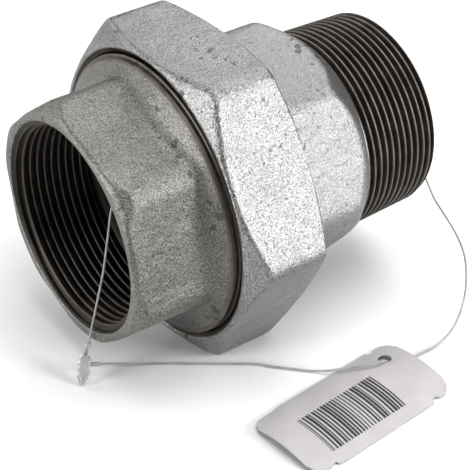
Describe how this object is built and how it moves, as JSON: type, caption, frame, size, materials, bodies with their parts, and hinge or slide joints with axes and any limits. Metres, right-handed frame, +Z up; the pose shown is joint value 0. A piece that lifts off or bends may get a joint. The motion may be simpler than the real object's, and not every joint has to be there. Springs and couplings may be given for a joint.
{
  "type": "threaded pipe union",
  "caption": "Galvanised malleable iron pipe union, size 2 (DN 50): hexagonal female end, hexagonal union nut and male end with a tapered thread, with a blank hang tag on a nylon loop",
  "frame": {"origin": "middle of the union's length, under the pipe axis, on the flat of the nut that it rests on", "axes": "+X runs along the pipe axis from the female mouth to the male thread, +Z is up, +Y completes the right-hand frame"},
  "size_m": [0.1161, 0.1288, 0.087],
  "materials": {
    "galvanised_body": "hot-dip galvanised cast skin, satin and slightly rough",
    "galvanised_nut": "hot-dip galvanised cast skin, satin and slightly rough",
    "tag_card": "matt coated card",
    "nylon": "natural nylon, slightly translucent"
  },
  "bodies": {
    "male_body": {"male_end": "galvanised_body", "hang_tag": "tag_card", "tag_cord_side": "nylon", "tag_cord_front": "nylon"},
    "nut": {"union_nut": "galvanised_nut"},
    "female_body": {"female_end": "galvanised_body", "tag_lock": "nylon", "tag_cord_mouth": "nylon"}
  },
  "joints": [
    {"name": "nut_turn", "type": "hinge", "parent": "male_body", "child": "nut", "pos_m": [-0.0125, 0, 0.0435], "axis": [1, 0, 0], "range_deg": [0, 1620]},
    {"name": "female_slide", "type": "slide", "parent": "male_body", "child": "female_body", "axis": [-1, 0, 0], "range_m": [0, 0.0104]}
  ],
  "couplings": [
    {"joint": "female_slide", "follows": "nut_turn", "m_per_rad": 0.00036749}
  ]
}
